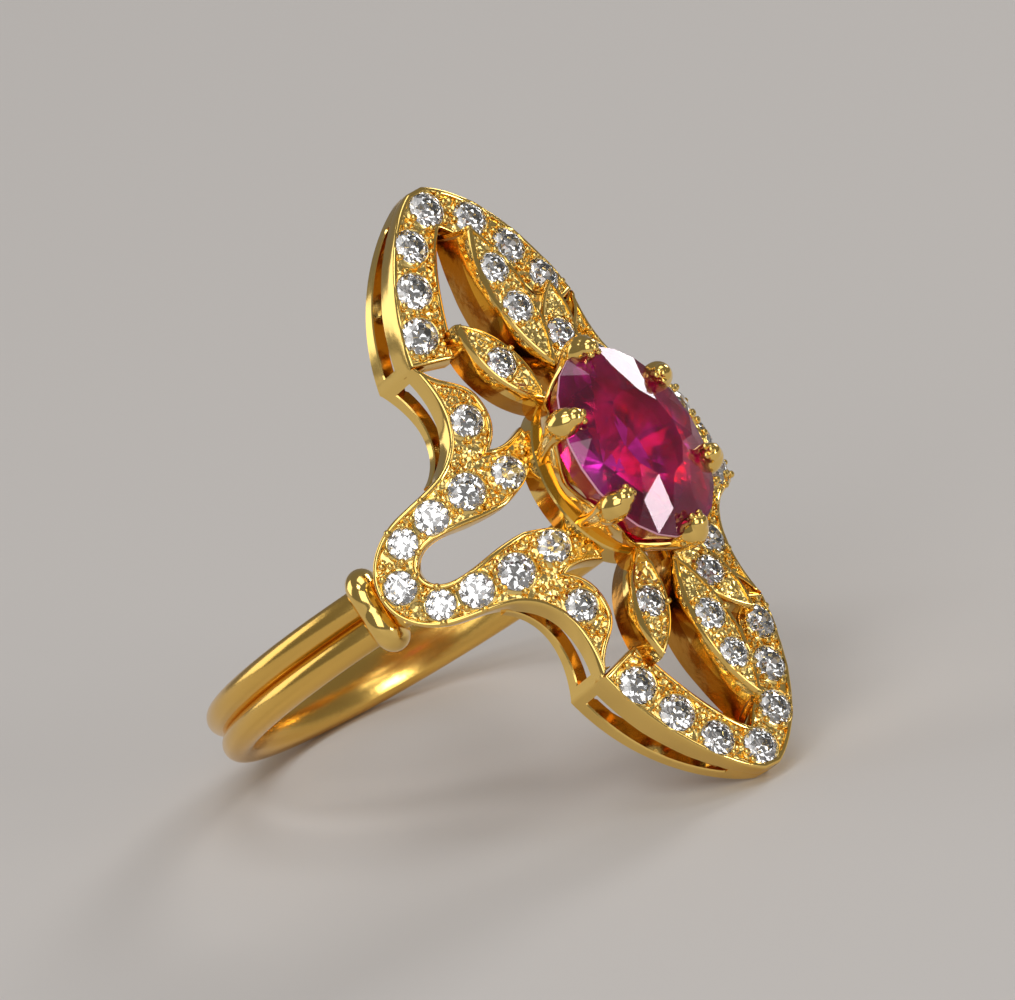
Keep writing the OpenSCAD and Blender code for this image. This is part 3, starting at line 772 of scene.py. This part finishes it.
def bowl():
    """Wall of the bowl: its rim dips as |cos 3a|^1.5 between the claws.

    P = ((2.95 + 0.91 k - inset) cos a, (2.0 + 0.76 k - inset) sin a, z), where k rises evenly with z.
    """
    rim = BOWL_DIP + (BOWL_TOP - BOWL_DIP) * np.abs(np.cos(3 * a)) ** 1.5
    rows = []
    for t, inset in BOWL_WALL:
        z = BOWL_FOOT + (rim - BOWL_FOOT) * t
        k = (z - 0.3) / 2.1
        rx, ry = 2.95 + 0.91 * k - inset, 2.0 + 0.76 * k - inset
        rows.append(np.stack([rx * np.cos(a), ry * np.sin(a), FACE_H + z], -1))
    return np.stack(rows, 1)


basket.part(bowl(), grid_faces(len(a), len(BOWL_WALL), True))
basket.piece("basket", POLISHED)


def balls(shape, centres_at, radii, rows, cols):
    """A ball at each centre, of its own radius, with rows of points between its poles."""
    lat = np.linspace(-math.pi / 2, math.pi / 2, rows + 2)[1:-1, None]
    lon = np.linspace(0, 2 * math.pi, cols, endpoint=False)
    p = np.stack([np.cos(lat) * np.cos(lon), np.cos(lat) * np.sin(lon), np.sin(lat) + 0 * lon], -1).reshape(-1, 3)
    quads, caps = grid_faces(rows, cols), np.array(end_caps(rows, cols))
    centres_at = np.asarray(centres_at)
    every = centres_at[:, None] + p[None] * np.asarray(radii)[:, None, None]
    offsets = np.arange(len(centres_at))[:, None, None] * len(p)
    shape.part(every, (quads[None] + offsets).reshape(-1, 4), (caps[None] + offsets).reshape(-1, cols).tolist())


# A claw's middle line for an oval: half width along x and y, height over the face. Then its radius there
CLAW_LINE = np.array([
    [2.85, 1.9, 0.1], [3.2, 2.2, 1.0], [3.55, 2.48, 1.9], [3.73, 2.61, 2.7], [3.7, 2.54, 3.2], [3.6, 2.42, 3.5],
])
CLAW_RADIUS = np.array([0.3, 0.3, 0.4, 0.56, 0.55, 0.36])
CLAW_ANGLES = np.radians([0, 63, 117, 180, 243, 297])


def smooth(values):
    """26 even stations along straight lines between the knots, averaged six times with their neighbours."""
    t = np.linspace(0, 5, 26)
    v = np.stack([np.interp(t, np.arange(6), values[:, k]) for k in range(values.shape[1])], 1)
    for _ in range(6):
        v[1:-1] = (v[:-2] + 2 * v[1:-1] + v[2:]) / 4
    return v


def claws():
    """A round section carried along a smooth line from the base ring past the bend to the tip, with a round end."""
    shape, beads = Shape(), Shape()
    line, radius = smooth(CLAW_LINE), smooth(CLAW_RADIUS[:, None])[:, 0]
    end = np.linspace(0.2, math.pi / 2, 7)
    b = np.linspace(0, 2 * math.pi, 24, endpoint=False)
    circle = np.stack([np.cos(b), np.sin(b)], 1)
    radii = np.concatenate([radius, np.maximum(radius[-1] * np.cos(end), 0.01)])
    for c, s in zip(np.cos(CLAW_ANGLES), np.sin(CLAW_ANGLES)):
        path = line * [c, s, 1] + [0, 0, FACE_H]
        along = unit(np.gradient(path, axis=0))
        tip, tip_way = path[-1], along[-1]
        stations = np.concatenate([path, tip + (radius[-1] * np.sin(end))[:, None] * tip_way])
        along = np.concatenate([along, np.tile(tip_way, (len(end), 1))])
        e1 = unit(np.cross(along, [s, -c, 0]))
        shape.sweep(stations, e1, np.cross(along, e1), circle * radii[:, None, None], False)
        low = tip + 0.12 * tip_way - 0.25 * np.array([c, s, 0])
        across = 0.17 * np.array([-s, c, 0])
        at = [tip + 0.3 * tip_way - 0.06 * np.array([c, s, 0]), low + across, low - across]
        balls(beads, at, [0.14, 0.13, 0.13], 6, 12)
    beads.piece("claw_beads", POLISHED, 80)
    return shape


claws().piece("claws", POLISHED)


# Seats of the small stones: a collar with a cone inside and a hole behind
def room_round(stone, turns):
    """How far out of a stone's middle the metal reaches in each direction, up to 0.18 mm past the stone."""
    x, s, d, h, way = stone
    if h:
        line = leaf_line(CENTRE_LEAF if s == 0 else SMALL_LEAF) * [np.sign(x), np.sign(s) if s else 1]
    else:
        line = gable * [np.sign(x), 1] if abs(x) > GABLE_FROM else side * [1, np.sign(s)]
    steps = d / 2 + np.linspace(0.04, 0.18, 8)
    p = np.stack([x + np.outer(np.cos(turns), steps), s + np.outer(np.sin(turns), steps)], -1).reshape(-1, 2)
    free = (inside(p, line) & (edge_distance(p, line) > 0.035)).reshape(len(turns), -1)
    return np.where(free, steps, d / 2 + 0.035).max(1)


def seats():
    """P = centre + r cos b e1 + r sin b e2 + h out: a closed section (r, h) turned round each stone's axis.

    Its outside stays within the plate's walls.
    """
    shape = Shape()
    b = np.linspace(0, 2 * math.pi, 28, endpoint=False)
    for stone, centre, axis in zip(stones, centres, axes):
        r = stone[2] / 2
        cone = 0.11 + 0.04 * stone[2]
        neck = cone + 0.84 * (r + 0.06 - 0.25)
        deep = PLATE_T + 0.01
        out = room_round(stone, b)
        section = (
            (r + 0.01, -cone), (r + 0.005, -0.085), (np.minimum(r + 0.03, out), -0.07),
            (np.minimum(r + 0.1, out), -0.1), (out, -0.17), (out, -deep),
            (0.45, -deep), (0.25, -neck - 0.05), (0.25, -neck),
        )
        radial, height = (np.stack([0 * b + row[k] for row in section], 1) for k in range(2))
        local = np.stack([radial * np.cos(b)[:, None], radial * np.sin(b)[:, None], height], -1)
        # The seat's outer wall and bottom under the plate take the darker gold of painted shade
        shade_quads = np.tile(np.isin(np.arange(len(section)), (4, 5, 6, 7)), len(b))
        shape.part(centre + local @ axis, grid_faces(len(b), len(section), True), inside=shade_quads)
    return shape


seats().piece("stone_seats", ENGRAVED)


# Grains: small balls raised from the metal, round each stone and wherever the floor is open

# Grains of the ring round a stone, their distance from its edge, and the least distance of any grain from it
RING_GRAINS, RING_OFF, STONE_ROOM = 6, 0.085, 0.06
# Least distance to the outline of a ring's grain, of one at the gable's tip, and of one on the open floor
RING_ROOM, TIP_ROOM, TIP_FROM, OPEN_ROOM = 0.1, 0.2, 11.5, 0.26
# Least distance from one grain to the next
GRAIN_PITCH = 0.29


def thinned(points, least):
    """Keeps each point that lies at least so far from those kept before it."""
    kept = []
    for q in points:
        if all(np.hypot(*(q - k)) > least for k in kept):
            kept.append(q)
    return np.array(kept).reshape(-1, 2)


def grain_places(line, near, rng, spread):
    """Flat places of the grains inside one outline: a ring of them round each stone, then spread over the floor.

    near holds the stones' x, s, diameter and direction. A grain of a ring may come nearer to the edge.
    """
    rings = []
    for x, s, d, way in near:
        even = 360 / RING_GRAINS * (np.arange(RING_GRAINS) + 0.5)
        turns = np.radians(way + even + rng.uniform(-6, 6, RING_GRAINS))
        rings.append([x, s] + (d / 2 + RING_OFF) * np.stack([np.cos(turns), np.sin(turns)], 1))
    points = np.concatenate(rings + [rng.uniform(line.min(0), line.max(0), (spread, 2))])
    ringed = np.arange(len(points)) < RING_GRAINS * len(rings)
    good = inside(points, line)
    room = np.where(ringed, np.where(np.abs(points[:, 0]) > TIP_FROM, TIP_ROOM, RING_ROOM), OPEN_ROOM)
    good[good] = edge_distance(points[good], line) > room[good]
    for x, s, d, way in near:
        good &= np.hypot(points[:, 0] - x, points[:, 1] - s) > d / 2 + STONE_ROOM
    return thinned(points[good], GRAIN_PITCH)


def stones_inside(line, height):
    """x, s, diameter and direction of the stones of one height inside a line."""
    return [(x, s, d, way) for x, s, d, h, way in stones if h == height and inside(np.array([[x, s]]), line)[0]]


def grains():
    """A ball at each place, a little over the metal round it."""
    rng = np.random.default_rng(7)
    shape = Shape()
    for line in (gable, side):
        flat = grain_places(line, stones_inside(line, 0), rng, 1500)
        up = rng.uniform(0.0, 0.03, len(flat))
        balls(shape, bend(flat[:, 0], flat[:, 1], up), rng.uniform(0.12, 0.145, len(flat)), 6, 10)
    shape.mirrored((-1, -1))
    for place, signs in ((CENTRE_LEAF, ((-1, 1),)), (SMALL_LEAF, ((-1, 1), (1, -1), (-1, -1)))):
        line, turn_deg, up = leaf_line(place), place[4], place[5]
        near = [(x, s, d, turn_deg) for x, s, d, way in stones_inside(line, up)]
        flat = grain_places(line, near, rng, 0)
        at = np.concatenate([flat, np.full((len(flat), 1), FACE_H + up + 0.02)], 1)
        for sx, sy in ((1, 1),) + signs:
            balls(shape, at * [sx, sy, 1], np.full(len(at), 0.13), 6, 10)
    return shape


grains().piece("grains", POLISHED, 80)

# The stones stay as the solids are, and get only their materials
for name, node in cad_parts.items():
    if name == "ruby" or name.startswith("diamond"):
        for material_slot in node.material_slots:
            material_slot.material = RUBY if name == "ruby" else DIAMOND

# Camera, at the photograph's angle: the photograph's right, down and away in the ring's frame
RIGHT = np.array([0.5267161, 0.69986026, 0.48245804])
DOWN = np.array([0.84307518, -0.35759151, -0.40168712])
AWAY = np.array([-0.10860196, 0.61832348, -0.77838403])
# Focal length and size of the picture in its pixels, where the middle of the face shows, and how far off it is in mm
FOCAL_PX, FRAME_PX, FACE_PX, DISTANCE = 11339.0, (1015, 1000), (594.563, 475.663), 396.2
off_x, off_y = (FRAME_PX[0] / 2 - FACE_PX[0]) / FOCAL_PX, (FRAME_PX[1] / 2 - FACE_PX[1]) / FOCAL_PX
aim = AWAY + RIGHT * off_x + DOWN * off_y
eye = to_rest(np.array([0, 0, FACE_H]) - AWAY * DISTANCE)


def turned(v):
    """A direction in the ring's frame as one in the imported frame."""
    return to_rest(v * 1000)


forward = unit(turned(aim))
right = turned(RIGHT)
right = unit(right - (right @ forward) * forward)
up = np.cross(right, forward)
camera = bpy.data.objects.new("camera", bpy.data.cameras.new("camera"))
rows = np.stack([right, up, -forward, eye], 1).tolist()
camera.matrix_world = Matrix(rows + [[0, 0, 0, 1]])
SENSOR_MM = 36
camera.data.sensor_width = SENSOR_MM
camera.data.lens = FOCAL_PX / FRAME_PX[0] * SENSOR_MM
camera.data.clip_start, camera.data.clip_end = 0.01, 10
bpy.context.scene.collection.objects.link(camera)
bpy.context.scene.camera = camera

# Floor and studio light
FLOOR_HALF = 3
floor_mesh = bpy.data.meshes.new("floor")
corners = [(FLOOR_HALF * i, FLOOR_HALF * j, cad_lo[2]) for i, j in ((-1, -1), (1, -1), (1, 1), (-1, 1))]
floor_mesh.from_pydata(corners, [], [(0, 1, 2, 3)])
floor = bpy.data.objects.new("floor", floor_mesh)
# Matt card, as it comes from the sheet
card, card_shader = new_material("pale_card", "#D5D0CC")
card_shader.inputs["Roughness"].default_value = 0.7
floor_mesh.materials.append(card)
bpy.context.scene.collection.objects.link(floor)


def softbox(name, place, size, power):
    """A square white area light that faces the ring, with its place and size in metres and its power in watts."""
    data = bpy.data.lights.new(name, "AREA")
    data.shape, data.size, data.energy = "SQUARE", size, power
    lamp = bpy.data.objects.new(name, data)
    lamp.location = place
    lamp.rotation_mode = "QUATERNION"
    lamp.rotation_quaternion = (-Vector(place)).to_track_quat("-Z", "Y")
    bpy.context.scene.collection.objects.link(lamp)


softbox("back", (-0.055, 0.49, 0.25), 0.16, 0.66)
softbox("right", (0.55, 0.075, 0.04), 0.12, 0.6)
softbox("top", (0.03, -0.24, 0.47), 0.15, 0.3)
softbox("left_reflector", (-0.55, -0.28, 0.22), 0.4, 0.7)
softbox("front_reflector", (0.305, -0.42, 0.30), 0.42, 1.05)
softbox("gap_reflector", (0.51, 0.136, 0.245), 0.16, 0.2)
softbox("upper_reflector", (0.0, 0.1, 0.65), 0.35, 0.7)
world = bpy.data.worlds.new("studio")
world.use_nodes = True
background = world.node_tree.nodes["Background"]
background.inputs["Color"].default_value = linear("#FFFCF8")
background.inputs["Strength"].default_value = 0.19
bpy.context.scene.world = world
bpy.context.scene.view_settings.view_transform = "Standard"
